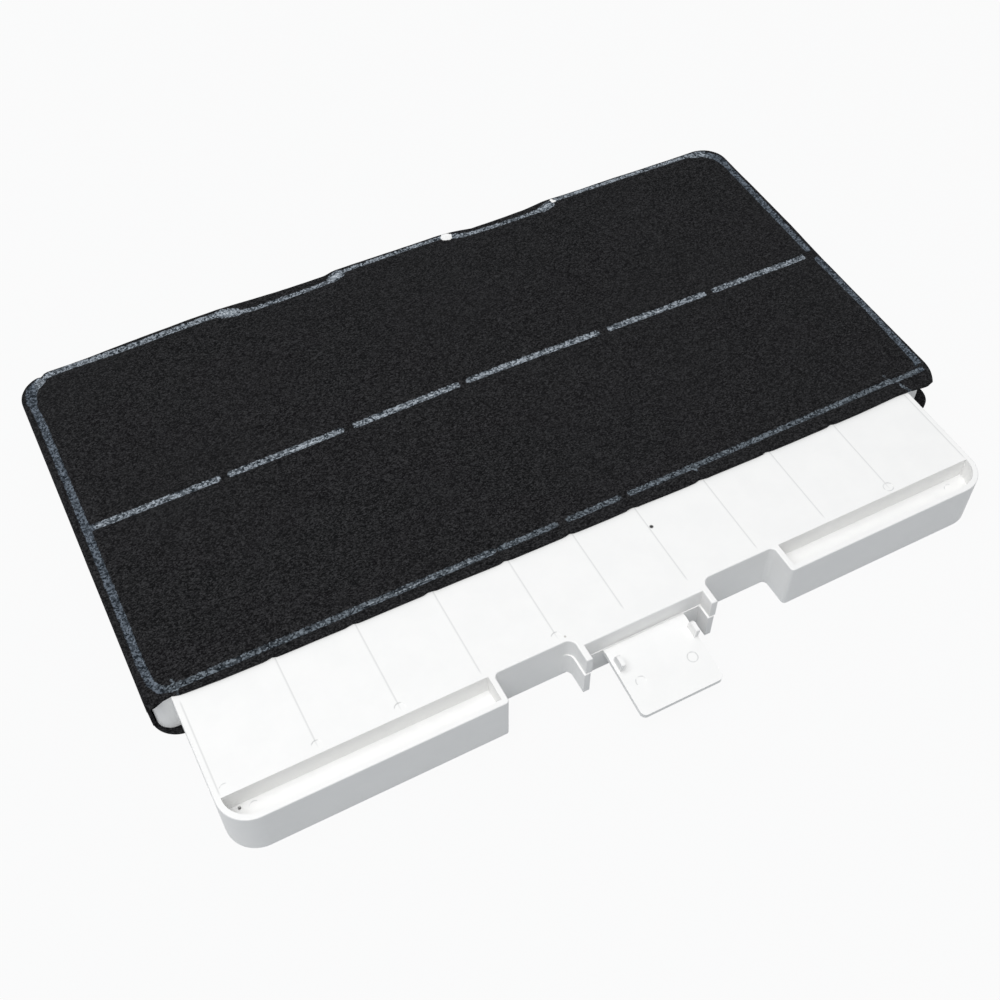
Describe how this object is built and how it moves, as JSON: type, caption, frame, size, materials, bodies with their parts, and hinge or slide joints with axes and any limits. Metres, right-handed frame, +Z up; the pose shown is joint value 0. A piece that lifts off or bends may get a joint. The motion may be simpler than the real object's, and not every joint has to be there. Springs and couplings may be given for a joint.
{
  "type": "cooker hood carbon filter",
  "caption": "Flat white moulded frame with a black carbon felt on each face, end troughs along its front edge and a hinged release flap.",
  "frame": {"origin": "on the underside, in the middle of the bed and in line with the latch", "axes": "+X to the right along the front edge, +Y to the rear, +Z up through the felts"},
  "size_m": [0.4724, 0.3418, 0.0325],
  "materials": {
    "white_plastic": "satin, as moulded",
    "carbon_felt": "matt needle-punched felt"
  },
  "bodies": {
    "filter": {"frame": "white_plastic", "top_felt": "carbon_felt", "bottom_felt": "carbon_felt"},
    "flap": {"release_flap": "white_plastic"}
  },
  "joints": [
    {"name": "flap_hinge", "type": "hinge", "parent": "filter", "child": "flap", "pos_m": [0, -0.1832, 0.0183], "axis": [-1, 0, 0], "range_deg": [-15, 60], "stiffness_Nm_per_rad": 0.05}
  ]
}
